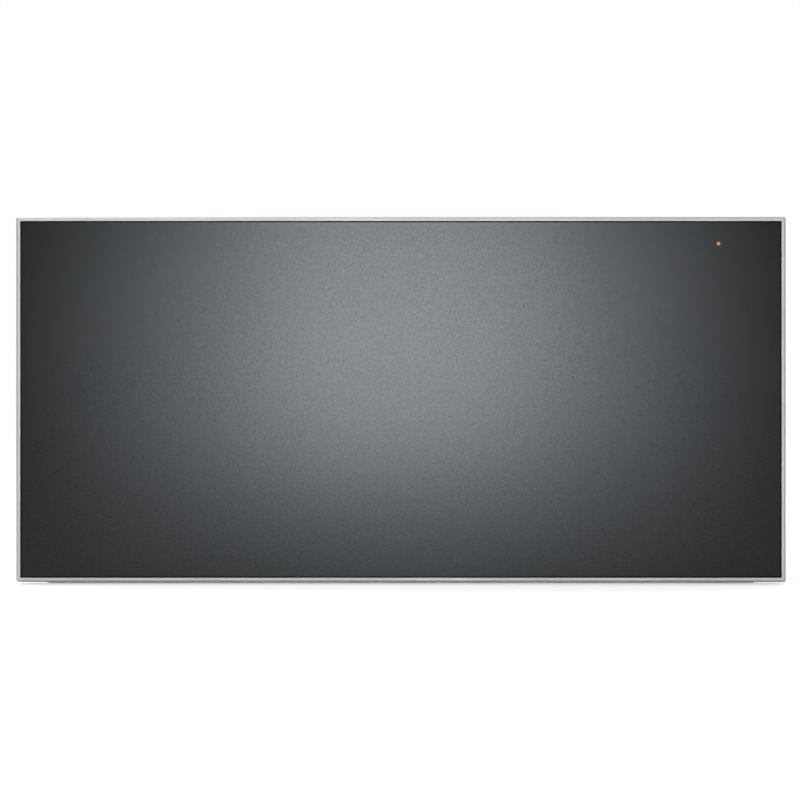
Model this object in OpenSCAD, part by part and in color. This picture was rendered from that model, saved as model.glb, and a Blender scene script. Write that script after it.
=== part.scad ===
// Built-in warming drawer: a flush glass front in a slim metal frame, a steel tub with a
// heated glass floor and a fan, full-extension ball slides, and a push-to-open latch.
// Millimetres. X runs to the right, Y to the rear, Z up. The origin is at the middle of the
// casing's footprint, on the shelf. Modules work in depths measured from the front face,
// and placed() moves them back by half the overall depth.

/* [Overall] */
// Width of the casing, inside the kitchen niche
casing_w = 547; // [492:1:602]
// Height of the casing
casing_h = 280; // [256:1:320]
// Depth of the casing behind the cabinet's front edge
casing_d = 513; // [462:1:564]
// How far the front reaches past each side of the casing
front_over = 21.5; // [20.5:0.5:30]
// How far the front reaches above the casing
front_rise = 2; // [0:0.5:8]
// Height of the front's lower edge above the shelf
front_lift = 2; // [1:0.5:6]

/* [Front panel] */
// Depth of the frame bars round the glass
front_t = 21; // [19:0.5:26]
// Width of the bright rim seen round the glass
rim_w = 3.3; // [2.8:0.1:6]
// Width of the bevel on the rim's outer edge
rim_bevel = 1.2; // [0.6:0.1:2.2]
// Radius of the frame's outer corners
corner_r = 2; // [1:0.1:2]
// Wall of a frame bar behind the rim
bar_wall = 2; // [1.2:0.1:2.4]
// Reach of the shelf under the glass and of the rear lip
bar_reach = 8; // [6:0.5:12]
// Thickness of that shelf and lip
bar_lip = 1.5; // [1:0.1:2]
// Thickness of the glass pane
glass_t = 4; // [3:0.5:5]
// Width of the sealed joint between glass and rim
glass_joint = 0.9; // [0.5:0.1:1.5]
// How far the glass lies behind the rim
glass_inset = 0.4; // [0.2:0.1:1]
// Distance of the indicator lamp from the right edge
lamp_inset = 51.6; // [30:0.1:80]
// Distance of the indicator lamp from the top edge
lamp_drop = 20.6; // [18:0.1:40]
// Diameter of the indicator lamp in the glass
lamp_dia = 2.6; // [2:0.1:5]

/* [Casing] */
// Thickness of the casing and drawer sheets
sheet = 1; // [0.8:0.1:1.2]
// Reach of the fixing flanges over the cabinet's front edges
flange_w = 19; // [16:0.5:20]
// Distance of the fixing holes from the flange's outer edge
fix_edge = 5.5; // [5:0.5:8]
// Diameter of the fixing holes
fix_dia = 4.5; // [4:0.1:5.5]
// Distance of the fixing holes from the casing's base and top
fix_end = 60; // [40:1:90]
// How far the back panel lies inside the casing's rear edge
back_recess = 3; // [2.5:0.5:6]

/* [Screws] */
// Diameter of the sheet-metal screws
screw_dia = 3.4; // [3:0.1:3.8]
// Length of the sheet-metal screws under their heads
screw_l = 6; // [5:0.5:8]

/* [Motion] */
// Length of slide that stays engaged when the drawer is fully open
slide_hold = 10; // [5:1:80]
// How far the closed front can be pressed in to release it
push_travel = 4; // [3:0.5:5]
// Gap left behind the front when it is pressed in
press_spare = 1; // [0.6:0.1:2]

/* [Drawer tub] */
// Room for insulation between the tub and the drawer's sides
side_room = 25.8; // [20:0.1:40]
// Corner radius of the tub
tub_r = 20; // [12:1:30]
// Width of the ledge between the front panel and the tub
ledge_w = 34.5; // [34:0.5:42]
// Height left above the tub's rim for the controls
rim_room = 30; // [29:0.5:50]
// Height of the heated glass floor above the shelf
floor_z = 37; // [36:0.5:45]
// Gap between the tub and the drawer's back panel
back_gap = 10; // [9:0.5:12]
// How far the rim folds down over the side panels
rim_fold = 10; // [6:1:10]

/* [Heated floor] */
// Thickness of the glass floor
plate_t = 4; // [3:0.5:5]
// Width of the steel border round the glass floor
border_w = 16; // [12:1:24]
// Width of the ledge that carries the glass floor
plate_ledge = 9; // [7:1:14]
// Diameter of the heating tube under the glass
tube_dia = 6.4; // [5:0.2:7]
// Number of straight runs of the heating tube
tube_runs = 8; // [4:2:10]
// Space between the runs and the tray's walls
tube_margin = 42; // [35:1:60]

/* [Fan] */
// Diameter of the impeller
impeller_dia = 88; // [80:1:92]
// Depth of the impeller's blades
blade_d = 15; // [10:0.5:16]
// Number of impeller blades
blades = 18; // [10:1:24]
// Diameter of the ring heater, at the middle of its tube
ring_dia = 110; // [106:1:113]
// Inside diameter of the fan housing
fan_house_dia = 130; // [126:1:138]
// How far the fan housing stands out behind the drawer
fan_house_d = 26; // [24:0.5:27]

/* [Slides] */
// Height of the slide's centreline above the shelf
slide_z = 110; // [90:1:150]
// Height of a slide
slide_h = 45.7; // [42:0.1:50]
// Distance of the slides from the front and the rear of the casing
slide_end = 8; // [4:1:20]
// Room behind the slides for the fan and the latch
slide_rear = 55; // [52:1:80]
// How much shorter the middle member is
mid_short = 20; // [10:1:30]
// Thickness of the slide's steel
slide_t = 1.2; // [1:0.1:1.4]
// Diameter of the balls
ball_dia = 4; // [3.5:0.1:4.2]
// Clearance between balls and races
ball_clear = 0.1; // [0.08:0.01:0.16]
// Gap between the webs of the cabinet and middle members
web_gap = 0.9; // [0.8:0.05:1.2]
// Distance between the balls in a row
ball_pitch = 19; // [12:1:30]
// Thickness of a ball cage
cage_t = 0.4; // [0.3:0.05:0.5]

/* [Controls] */
// Distance of the console's right side from the drawer's side
console_inset = 42; // [40:1:70]
// Width of the console
console_w = 84; // [76:1:96]
// Depth of the console's box below the ledge
console_h = 28; // [26:1:40]
// Thickness of the console's fascia
fascia_t = 2.5; // [2:0.1:3]
// Diameter of the selector knob
knob_dia = 26; // [22:1:28]
// Height of the selector knob
knob_h = 12; // [9:0.5:13]
// Diameter of the power button
button_dia = 14; // [11:0.5:16]
// Travel of the power button
button_travel = 1.2; // [0.8:0.1:1.4]

/* [Hidden] */
$fn = 48;
eps = 0.01;
fit = 0.3; // clearance round pieces that are seated
running = 0.05; // radial clearance of a shaft in its bearing
bond_t = 0.6; // adhesive under the glass

// Front panel
front_w = casing_w + 2 * front_over;
front_h = casing_h + front_rise - front_lift;
half_w = front_w / 2;
front_top = front_lift + front_h;
front_mid_z = front_lift + front_h / 2;
glass_back = glass_inset + glass_t;
shelf_d = glass_back + bond_t;
pan_rear = front_t - bar_lip;
pan_front = pan_rear - sheet;
bar_inner = bar_wall + bar_reach;
lamp_x = half_w - lamp_inset;
lamp_z = front_top - lamp_drop;

// Casing
front_gap = push_travel + press_spare;
flange_d0 = front_t + front_gap;
mount_d = flange_d0 + sheet;
overall_d = mount_d + casing_d;
casing_in = casing_w / 2 - sheet;
back_d1 = overall_d - back_recess;
back_d0 = back_d1 - sheet;
fix_x = casing_w / 2 + flange_w - fix_edge;
fix_rise = casing_h - 2 * fix_end;
flange_margin = 10;
top_flange = 15;
back_flange = 12;
front_lip = 8;

// Slides, in u from the casing's wall and v from the centreline
race_in = ball_dia / 2 + ball_clear;
race_out = race_in + slide_t;
race_step = 4; // sideways step from the outer to the inner row of balls
race_a = [slide_t + web_gap + race_out, slide_h / 2 - race_out];
race_b = race_a + [race_step, -sqrt(pow(race_in + race_out, 2) - pow(race_step, 2))];
race_turn = atan2(race_a[1] - race_b[1], race_step); // where the S of the middle member turns
slide_w = race_b[0] + race_out;
slide_l = casing_d - slide_end - slide_rear;
travel = slide_l - slide_hold;
slide_d0 = mount_d + slide_end;
mid_d0 = slide_d0 + mid_short / 2;
mid_l = slide_l - mid_short;
cage_margin = 15;
cage_d0 = mid_d0 + travel / 4 + cage_margin;
cage_l = slide_l - travel / 2 - 4 * cage_margin;
cage_balls = floor((cage_l - ball_dia * 2) / ball_pitch) + 1;
fixings = [40, slide_l / 2, slide_l - 40]; // where the slides are fixed, from their front ends

// Drawer
drawer_half = casing_in - slide_w;
house_flange = 12;
base_z = front_lift + bar_inner + 1;
tub_w = 2 * (drawer_half - side_room);
rim_z = casing_h - rim_room;
tub_d0 = pan_rear + ledge_w;
rear_air = 12; // from the fan housing to the casing's back, when the drawer is closed
tub_d1 = back_d0 - rear_air - fan_house_d - back_gap - 2 * sheet;
tub_d = tub_d1 - tub_d0;
tub_mid_d = tub_d0 + tub_d / 2;
rear_d0 = tub_d1 + sheet + back_gap;
rear_d1 = rear_d0 + sheet;
fan_z = rim_z - rim_fold - house_flange - fan_house_dia / 2 - 3;
panel_top = rim_z - sheet;

// Heated floor
seal_t = 0.5;
recess_w = tub_w - 2 * border_w;
recess_l = tub_d - 2 * border_w;
recess_r = 8;
plate_joint = 1.5;
ledge_z = floor_z - plate_t - seal_t;
tray_top = ledge_z - sheet;
tray_depth = 11;
tray_floor = tray_top - tray_depth;
tray_w = recess_w - 2 * plate_ledge;
tray_l = recess_l - 2 * plate_ledge;
tube_z = tray_floor + fit + tube_dia / 2;

// Fan, with depths behind the tub's rear wall
fan_wall = tub_d1 + sheet;
house_rear = rear_d1 + fan_house_d;
impeller_d0 = fan_wall + 5;
shroud_t = 1.2;
disc_d = impeller_d0 + shroud_t + blade_d;
disc_t = 1.5;
hub_r = 20;
cup_wall = 1.5;
motor_r = hub_r - cup_wall - 1.2;
shaft_r = 1.5;
ring_d = (rear_d1 + house_rear) / 2 - 3;
ring_leg = 9; // half the distance between the ring heater's legs

// Latch
latch_z = 36;
latch_len = 30;
latch_w = 26;
latch_h = 22;
latch_ear = 9;
strike_t = 1.5;
plunger_r = 4;
collar_r = 6;
collar_t = 3;
latch_face = back_d0 - latch_len;
latch_wall = 2;
plunger_d0 = rear_d1 + strike_t + fit;
collar_d0 = latch_face + latch_wall + fit;
spring_wire = 1;
spring_turns = 7;

// Controls
console_x1 = drawer_half - console_inset;
console_x0 = console_x1 - console_w;
console_mid_x = (console_x0 + console_x1) / 2;
console_d0 = pan_rear + 1.5;
console_d1 = tub_d0 - sheet - 1.5;
console_wall = 2;
console_lip = 1;
console_z0 = rim_z - console_h;
fascia_bottom = rim_z + console_lip;
fascia_top = fascia_bottom + fascia_t;
fascia_w = console_w + 8;
fascia_d = console_d1 - console_d0 + 2.4;
control_d = (console_d0 + console_d1) / 2;
knob_x = console_x0 + 27;
button_x = console_x1 - 18;
knob_z0 = fascia_top + 0.8;
knob_base = 4;
knob_off = 120; // where the pointer stands when the drawer is switched off
spindle_r = 3;
board_z = console_z0 + 6;
board_t = 1.6;
board_top = board_z + board_t;
switch_w = 20;
switch_h = 10;
tact_h = 3.5;
button_flange = 1.5;
button_proud = 1.5;

// Power inlet
inlet_x = 72 - casing_in;
inlet_z = 60;
inlet_w = 27;
inlet_h = 20;
inlet_len = 20;

// ---- Shared shapes ----

module placed() translate([0, -overall_d / 2, 0]) children();

module both_sides() {
    children();
    mirror([1, 0, 0]) children();
}

// A box between two values on each axis
module block(x, d, z)
    translate([x[0], d[0], z[0]]) cube([x[1] - x[0], d[1] - d[0], z[1] - z[0]]);

// Extrudes an outline drawn in x and z towards the rear
module along_d(l) translate([0, l, 0]) rotate([90, 0, 0]) linear_extrude(l) children();

// Extrudes an outline drawn in depth and z to the right
module along_x(l) rotate([90, 0, 90]) linear_extrude(l) children();

module round_rect(w, l, r) {
    square([w - 2 * r, l], center = true);
    square([w, l - 2 * r], center = true);
    for (x = [-1, 1], y = [-1, 1]) translate([x * (w / 2 - r), y * (l / 2 - r)]) circle(r);
}

module slot(l, w) {
    square([l - w, w], center = true);
    for (x = [-1, 1]) translate([x * (l - w) / 2, 0]) circle(w / 2);
}

// A round bar between two depths
module rod_d(r, d0, d1) translate([0, d0, 0]) rotate([-90, 0, 0]) cylinder(r = r, h = d1 - d0);

// A round bar between two values of x
module rod_x(r, x0, x1) translate([x0, 0, 0]) rotate([0, 90, 0]) cylinder(r = r, h = x1 - x0);

// A pan-head screw: its head stands on z = 0 and its shank points down
module pan_screw(r, l) {
    head_r = r * 1.9;
    head_h = r * 1.1;
    difference() {
        rotate_extrude() polygon([
            [0, 0], [head_r, 0], [head_r, head_h * 0.45], [head_r * 0.75, head_h * 0.85],
            [head_r * 0.4, head_h], [0, head_h]
        ]);
        for (a = [0, 90]) rotate(a) translate([-head_r * 0.5, -r * 0.18, head_h * 0.45])
            cube([head_r, r * 0.36, head_h]);
    }
    translate([0, 0, -l]) cylinder(r = r, h = l + eps);
}

// A sheet-metal screw and the hole for it, along z
module sheet_screw() pan_screw(screw_dia / 2, screw_l);

module screw_hole() translate([0, 0, -6]) cylinder(r = screw_dia / 2 + running, h = 12);

// A stiffening rib with round ends, pressed out of a sheet that lies at z = 0 to sheet
bead_w = 22;
bead_h = 2.5;

module bead(l, w, h, base) {
    translate([0, w / 2, 0]) along_d(l - w)
        polygon([[-w / 2, base], [-w / 2 + h, h], [w / 2 - h, h], [w / 2, base]]);
    for (m = [0, 1]) translate([0, l / 2, 0]) mirror([0, m, 0]) translate([0, l / 2 - w / 2, 0])
        rotate_extrude(angle = 180) polygon([[0, base], [w / 2, base], [w / 2 - h, h], [0, h]]);
}

module bead_ridge(l) translate([0, -sheet, 0])
    bead(l + 2 * sheet, bead_w + 2 * sheet, bead_h + sheet, 0);

module bead_hollow(l) bead(l, bead_w, bead_h, -eps);

function arc(c, r, a0, a1, first = 0, n = 10) =
    [for (i = [first:n]) c + r * [cos(a0 + (a1 - a0) * i / n), sin(a0 + (a1 - a0) * i / n)]];

function backwards(p) = [for (i = [len(p) - 1:-1:0]) p[i]];

function below(p) = [for (q = backwards(p)) [q[0], -q[1]]];

// ---- Casing ----

casing_beads = [-0.62, 0, 0.62] * casing_in;
top_beads = [-0.7, -0.35, 0.35, 0.7] * casing_in;
bead_l = casing_d - 120;
bead_d = mount_d + 60;
vent_pitch = 9;
side_vents = 8;

module side_vent_slots() for (i = [0:side_vents - 1])
    translate([0, back_d0 - 60 - i * vent_pitch, casing_h - 55])
        rotate([0, 90, 0]) translate([0, 0, -casing_w]) linear_extrude(2 * casing_w) slot(36, 4);

module top_screw_spots() for (d = [60, casing_d / 2, casing_d - 60])
    translate([casing_w / 2, mount_d + d, casing_h - top_flange / 2]) rotate([0, 90, 0]) children();

module back_screw_spots() for (z = [35, casing_h / 2, casing_h - 35])
    translate([casing_in - back_flange / 2, back_d1, z]) rotate([-90, 0, 0]) children();

module rail_fixing_spots() for (f = fixings) translate([0, slide_d0 + f, slide_z]) children();

module casing_shell() color("lightgray") placed() difference() {
    union() {
        block([-casing_w / 2, casing_w / 2], [flange_d0, overall_d], [0, sheet]);
        for (x = casing_beads) translate([x, bead_d, 0]) bead_ridge(bead_l);
        block([-casing_in, casing_in], [flange_d0, mount_d], [0, 6]);
        both_sides() {
            block([casing_in, casing_w / 2], [flange_d0, overall_d], [0, casing_h - sheet]);
            block([casing_in, casing_w / 2 + flange_w], [flange_d0, mount_d],
                [flange_margin, casing_h - flange_margin]);
            block([casing_in - back_flange, casing_w / 2], [back_d0 - sheet, back_d0],
                [0, casing_h - top_flange - 5]);
        }
    }
    for (x = casing_beads) translate([x, bead_d, 0]) bead_hollow(bead_l);
    side_vent_slots();
    both_sides() {
        for (z = [fix_end, fix_end + fix_rise])
            translate([fix_x, 0, z]) rod_d(fix_dia / 2, flange_d0 - 1, mount_d + 1);
        top_screw_spots() screw_hole();
        back_screw_spots() screw_hole();
        rail_fixing_spots() rod_x(2 + running, casing_in - 1, casing_w);
    }
}

module casing_top() color("lightgray") placed() difference() {
    union() {
        block([-casing_w / 2, casing_w / 2], [flange_d0, overall_d], [casing_h - sheet, casing_h]);
        block([-casing_in, casing_in], [flange_d0, mount_d], [casing_h - front_lip, casing_h]);
        both_sides() block([casing_in - sheet, casing_in], [mount_d + 4, back_d0 - sheet - 1],
            [casing_h - top_flange, casing_h]);
        block([-casing_in + 14, casing_in - 14], [back_d0 - sheet, back_d0],
            [casing_h - top_flange, casing_h]);
        for (x = top_beads) translate([x, bead_d, casing_h]) mirror([0, 0, 1]) bead_ridge(bead_l);
    }
    for (x = top_beads) translate([x, bead_d, casing_h]) mirror([0, 0, 1]) bead_hollow(bead_l);
    both_sides() top_screw_spots() screw_hole();
}

back_vent_rows = 5;
back_vent_columns = 4;

module casing_back() color("gainsboro") placed() difference() {
    block([-casing_in + fit, casing_in - fit], [back_d0, back_d1],
        [sheet + fit, casing_h - sheet - fit]);
    both_sides() {
        back_screw_spots() screw_hole();
        for (row = [0:back_vent_rows - 1], column = [0:back_vent_columns - 1])
            translate([55 + 44 * column, back_d0 - 1, casing_h - 60 - 10 * row])
                along_d(sheet + 2) slot(36, 4.5);
    }
    translate([inlet_x, back_d0 - 1, inlet_z])
        along_d(sheet + 2) square([inlet_w + 2 * fit, inlet_h + 2 * fit], center = true);
    latch_screw_spots() translate([0, 0, -5]) cylinder(r = 1.5 + running, h = 10);
}

module casing_screws() color("silver") placed() both_sides() {
    top_screw_spots() sheet_screw();
    back_screw_spots() sheet_screw();
}

// ---- Power inlet in the back panel ----

module inlet_outline() polygon([[-12, -8], [12, -8], [12, 4], [8, 8], [-8, 8], [-12, 4]]);

module power_inlet() color("dimgray") placed() translate([inlet_x, 0, inlet_z]) difference() {
    union() {
        translate([0, back_d1 - inlet_len, 0]) along_d(inlet_len) square([inlet_w, inlet_h], center = true);
        translate([0, back_d1, 0]) along_d(2) round_rect(inlet_w + 8, inlet_h + 6, 3);
    }
    translate([0, back_d1 - inlet_len + 3, 0]) along_d(inlet_len) inlet_outline();
    for (p = [[-7, -2], [7, -2], [0, 2]]) translate([p[0], back_d1 - inlet_len - 1, p[1]])
        along_d(5) square([2.1, 4.1], center = true);
}

module inlet_pins() color("silver") placed() translate([inlet_x, 0, inlet_z])
    for (p = [[-7, -2], [7, -2], [0, 2]]) translate([p[0], back_d1 - inlet_len - 6, p[1]])
        along_d(inlet_len + 3) square([2, 4], center = true);

cover_w = 60;
cover_h = 44;
cover_d = 30;
cover_t = 2;

module inlet_cover() color("dimgray") placed() difference() {
    translate([inlet_x, back_d0 - cover_d, inlet_z]) along_d(cover_d) square([cover_w, cover_h], center = true);
    translate([inlet_x, back_d0 - cover_d + cover_t, inlet_z]) along_d(cover_d)
        square([cover_w - 2 * cover_t, cover_h - 2 * cover_t], center = true);
    translate([inlet_x + cover_w / 4, back_d0 - cover_d / 2, inlet_z + cover_h / 3]) cylinder(r = 5, h = cover_h);
}

// ---- Slides: each member is one folded strip, drawn as the outline of its section ----

// Draws in u and v on the right-hand slide, or its mirror image on the left
module slide_side(side) mirror([side < 0 ? 1 : 0, 0, 0])
    translate([casing_in, 0, slide_z]) mirror([1, 0, 0]) children();

module slide_member(d0, l, outline) translate([0, d0, 0]) along_d(l) polygon(outline);

cabinet_half = concat([[0, slide_h / 2]], arc(race_a, race_out, 90, 10), arc(race_a, race_in, 10, 90),
    [[slide_t, slide_h / 2 - slide_t]]);
cabinet_outline = concat(cabinet_half, below(cabinet_half));

// The middle member's edge cradles the outer ball from below and wraps over the inner ball
cradle = 180 + acos((race_a[0] - slide_t - web_gap - slide_t) / race_out);
cradle_v = race_a[1] + race_in * sin(cradle);
middle_near = concat(arc(race_b, race_in, 45, 180 - race_turn),
    arc(race_a, race_out, 360 - race_turn, cradle, 1));
middle_far = concat([[slide_t + web_gap, cradle_v - 0.6], [slide_t + web_gap + 0.6, cradle_v]],
    arc(race_a, race_in, cradle, 360 - race_turn),
    arc(race_b, race_out, 180 - race_turn, 45, 1));
middle_outline = concat(middle_near, below(middle_near), below(middle_far), middle_far);

drawer_curl = concat([race_b + [race_out, 0]], arc(race_b, race_in, 0, -145),
    arc(race_b, race_out, -145, -acos(race_in / race_out)));
drawer_outline = concat(drawer_curl, below(drawer_curl));

module cabinet_rail(side) color("silver") placed() difference() {
    slide_side(side) slide_member(slide_d0, slide_l, cabinet_outline);
    mirror([side < 0 ? 1 : 0, 0, 0]) rail_fixing_spots() rod_x(2 + running, casing_in - slide_t - 1, casing_in + 1);
}

module middle_rail(side) color("silver") placed() slide_side(side) difference() {
    slide_member(mid_d0, mid_l, middle_outline);
    for (d = [30, mid_l - 30]) translate([0, mid_d0 + d, 0]) rod_x(5, 0, race_a[0]);
}

module drawer_rail(side) color("silver") placed() difference() {
    slide_side(side) slide_member(slide_d0, slide_l, drawer_outline);
    mirror([side < 0 ? 1 : 0, 0, 0]) rail_fixing_spots()
        rod_x(2 + running, drawer_half - 1, drawer_half + slide_t + 1);
}

// A cage: a folded strip with a row of balls in its upper and its lower leg
module ball_cage(race, web_u, leg_v, tip_u) {
    hole_r = sqrt(pow(ball_dia / 2, 2) - pow(min(abs(leg_v), abs(leg_v + cage_t)), 2)) + 0.12;
    reach = race[1] + max(leg_v, leg_v + cage_t);
    difference() {
        translate([0, cage_d0, 0]) along_d(cage_l) union() {
            translate([web_u, -reach]) square([cage_t, 2 * reach]);
            for (m = [0, 1]) mirror([0, m]) translate([web_u, race[1] + leg_v])
                square([tip_u - web_u, cage_t]);
        }
        ball_spots(race) translate([0, 0, -2]) cylinder(r = hole_r, h = 4);
        translate([0, cage_d0 + cage_l / 2, 0]) rotate([90, 0, 90]) translate([0, 0, web_u - 1])
            linear_extrude(cage_t + 2) slot(cage_l - 30, 2 * race[1] - 16);
    }
    ball_spots(race) sphere(d = ball_dia);
}

module ball_spots(race) for (i = [0:cage_balls - 1], m = [-1, 1]) translate([
    race[0], cage_d0 + cage_l / 2 + (i - (cage_balls - 1) / 2) * ball_pitch, m * race[1]
]) children();

module outer_cage(side) color("goldenrod") placed() slide_side(side)
    ball_cage(race_a, slide_t + (web_gap - cage_t) / 2, 0.8, race_a[0] + 1.2);

module inner_cage(side) color("goldenrod") placed() slide_side(side)
    ball_cage(race_b, race_a[0] - race_in + 0.4, -0.6 - cage_t, race_b[0] + 1.2);

module left_cabinet_rail() cabinet_rail(-1);
module right_cabinet_rail() cabinet_rail(1);
module left_middle_rail() middle_rail(-1);
module right_middle_rail() middle_rail(1);
module left_drawer_rail() drawer_rail(-1);
module right_drawer_rail() drawer_rail(1);
module left_outer_cage() outer_cage(-1);
module right_outer_cage() outer_cage(1);
module left_inner_cage() inner_cage(-1);
module right_inner_cage() inner_cage(1);

// Rivets flush with the slide's web, with a domed head outside the casing
module rail_rivets() color("silver") placed() both_sides() rail_fixing_spots() {
    rod_x(2, casing_in - slide_t, casing_w / 2 + eps);
    translate([casing_w / 2, 0, 0]) rotate([0, 90, 0]) rotate_extrude()
        polygon([[0, 0], [3.6, 0], [3.2, 0.8], [2, 1.2], [0, 1.2]]);
}

module rail_screws() color("silver") placed() both_sides() rail_fixing_spots()
    translate([drawer_half + slide_t, 0, 0]) rotate([0, 90, 0]) pan_screw(1.9, slide_t + 3);

// ---- Push-to-open latch ----

module latch_screw_spots() for (x = [-1, 1])
    translate([x * (latch_w / 2 + latch_ear / 2), back_d1, latch_z]) rotate([-90, 0, 0]) children();

module latch_housing() color("dimgray") placed() difference() {
    union() {
        translate([0, latch_face, latch_z]) along_d(latch_len) round_rect(latch_w, latch_h, 4);
        translate([0, back_d0 - 3, latch_z]) along_d(3) round_rect(latch_w + 2 * latch_ear, latch_h - 4, 4);
    }
    translate([0, 0, latch_z]) {
        rod_d(plunger_r + running * 3, latch_face - 1, back_d0);
        rod_d(collar_r + fit, latch_face + latch_wall, back_d0 + 1);
    }
    latch_screw_spots() translate([0, 0, -8]) cylinder(r = 1.5 + running, h = 10);
}

module latch_screws() color("silver") placed() latch_screw_spots() pan_screw(1.5, 6);

module latch_plunger() color("whitesmoke") placed() translate([0, 0, latch_z]) {
    rod_d(plunger_r, plunger_d0, collar_d0 + collar_t + 6);
    rod_d(collar_r, collar_d0, collar_d0 + collar_t);
}

// A closed tube round a helix: rings of points, joined side by side
module spring(r, wire, l, turns) {
    sides = 8;
    steps = turns * 12;
    ring = function(i) let(a = 360 * i * turns / steps, c = [r * cos(a), r * sin(a), l * i / steps])
        [for (k = [0:sides - 1]) let(b = 360 * k / sides)
            c + wire / 2 * [cos(a) * cos(b), sin(a) * cos(b), sin(b)]];
    points = [for (i = [0:steps]) each ring(i)];
    sides_faces = [for (i = [0:steps - 1], k = [0:sides - 1]) let(n = (k + 1) % sides)
        [i * sides + k, i * sides + n, (i + 1) * sides + n, (i + 1) * sides + k]];
    polyhedron(points, concat([[for (k = [sides - 1:-1:0]) k]], sides_faces,
        [[for (k = [0:sides - 1]) steps * sides + k]]), convexity = 10);
}

// Drawn as short as it is when the front is pressed in
module latch_spring() color("silver") placed()
    translate([0, collar_d0 + collar_t + spring_wire / 2 + 0.1, latch_z]) rotate([-90, 0, 0])
        spring(collar_r - spring_wire, spring_wire,
            back_d0 - collar_d0 - collar_t - push_travel - spring_wire - 0.4, spring_turns);

module strike_plate() color("silver") placed()
    translate([0, rear_d1, latch_z]) along_d(strike_t) round_rect(40, 24, 4);

// ---- Front panel ----

// The front's outline, inset by w, between two depths
module field(w, d0, d1)
    block([-half_w + w, half_w - w], [d0, d1], [front_lift + w, front_top - w]);

bar_profile = [
    [rim_bevel, 0], [rim_w, 0], [rim_w, shelf_d], [bar_inner, shelf_d],
    [bar_inner, shelf_d + bar_lip], [bar_wall, shelf_d + bar_lip], [bar_wall, pan_rear],
    [bar_inner, pan_rear], [bar_inner, front_t], [0, front_t], [0, rim_bevel]
];

// A frame bar along the x axis with mitred ends and rounded tips, its outer edge on z = 0
module frame_bar(l) intersection() {
    translate([-l / 2, 0, 0]) along_x(l) polygon([for (p = bar_profile) [p[1], p[0]]]);
    translate([0, -1, 0]) along_d(front_t + 2) intersection() {
        polygon([
            [-l / 2, 0], [l / 2, 0], [l / 2 - bar_inner, bar_inner], [bar_inner - l / 2, bar_inner]
        ]);
        translate([0, l / 2]) round_rect(l, l, corner_r);
    }
}

module frame_bottom() color("silver") placed() translate([0, 0, front_lift]) frame_bar(front_w);

module frame_top() color("silver") placed()
    translate([0, 0, front_top]) mirror([0, 0, 1]) frame_bar(front_w);

module frame_left() color("silver") placed()
    translate([-half_w, 0, front_mid_z]) rotate([0, 90, 0]) frame_bar(front_h);

module frame_right() color("silver") placed()
    translate([half_w, 0, front_mid_z]) rotate([0, -90, 0]) frame_bar(front_h);

key_leg = 32;
key_w = 6;
key_d = 11;

module corner_keys() color("dimgray") placed() both_sides() for (m = [0, 1])
    translate([half_w, shelf_d + bar_lip, front_mid_z]) mirror([0, 0, m])
        translate([-bar_wall, 0, front_h / 2 - bar_wall]) mirror([1, 0, 0]) mirror([0, 0, 1])
            along_d(key_d) polygon([
                [0, 0], [key_leg, 0], [key_leg, key_w], [key_w, key_w], [key_w, key_leg], [0, key_leg]
            ]);

glass_edge = rim_w + glass_joint;

module glass_pane() color("#3c4044") placed() difference() {
    field(glass_edge, glass_inset, glass_back);
    translate([lamp_x, 0, lamp_z]) rod_d(lamp_dia / 2 + running, 0, front_t);
}

seal_drop = 0.8; // how far the black joint lies behind the glass face

module glass_seal() color("#101214") placed() difference() {
    field(rim_w, glass_inset + seal_drop, shelf_d);
    field(glass_edge, 0, glass_back);
    field(bar_inner - 0.5, 0, front_t);
}

pan_edge = bar_wall + 1;
pan_fold = 8;
pan_corner = key_leg + 8;

module front_pan() color("gainsboro") placed() difference() {
    union() {
        field(pan_edge, pan_front, pan_rear);
        difference() {
            field(pan_edge, pan_front - pan_fold, pan_front);
            field(pan_edge + sheet, 0, front_t);
            both_sides() for (z = [front_lift, front_top - pan_corner])
                block([half_w - pan_corner, half_w], [0, pan_front], [z, z + pan_corner]);
        }
    }
    front_screw_spots() screw_hole();
    translate([lamp_x - 8, 0, lamp_z]) rod_d(3, pan_front - 1, front_t);
}

insulation_gap = 1;
mat_side = 32; // clear of the lamp board and the screws
mat_end = 14;

module front_insulation() color("khaki") placed() block(
    [mat_side - drawer_half, drawer_half - mat_side],
    [shelf_d + bar_lip + insulation_gap, pan_front], [front_lift + mat_end, front_top - mat_end]);

lens_flange = 1;
lens_end = shelf_d + 3;

module indicator_lens() color("orange") placed() translate([lamp_x, 0, lamp_z]) {
    rod_d(lamp_dia / 2, glass_inset, lens_end);
    rod_d(4, glass_back, glass_back + lens_flange);
}

lamp_board_d = lens_end + 2.2;

module indicator_board() color("darkgreen") placed() translate([lamp_x, 0, lamp_z]) {
    block([-14, 10], [lamp_board_d, lamp_board_d + board_t], [-8, 8]);
    block([-1.6, 1.6], [lens_end + fit, lamp_board_d], [-1.4, 1.4]);
    block([-13, -9], [lamp_board_d - 4, lamp_board_d], [-5, 5]);
    for (x = [-11, 7]) translate([x, 0, -5]) rod_d(1.8, lamp_board_d + board_t, pan_front);
}

side_flange = 15;

screw_end = 29;
front_screw_z = [base_z + screw_end, (base_z + panel_top) / 2, panel_top - screw_end];

module front_side_spots() for (z = front_screw_z)
    translate([drawer_half - side_flange / 2, pan_rear + sheet, z]) rotate([-90, 0, 0]) children();

module front_screw_spots() both_sides() front_side_spots() children();

module front_screws() color("silver") placed() front_screw_spots() sheet_screw();

// ---- Drawer body ----

// A rounded block on the tub's centre, between two heights
module tub_box(w, l, r, z0, z1)
    translate([0, tub_mid_d, z0]) linear_extrude(z1 - z0) round_rect(w, l, r);

outlets = 24;
intake_rings = 3;
intake_step = 9;

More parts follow.
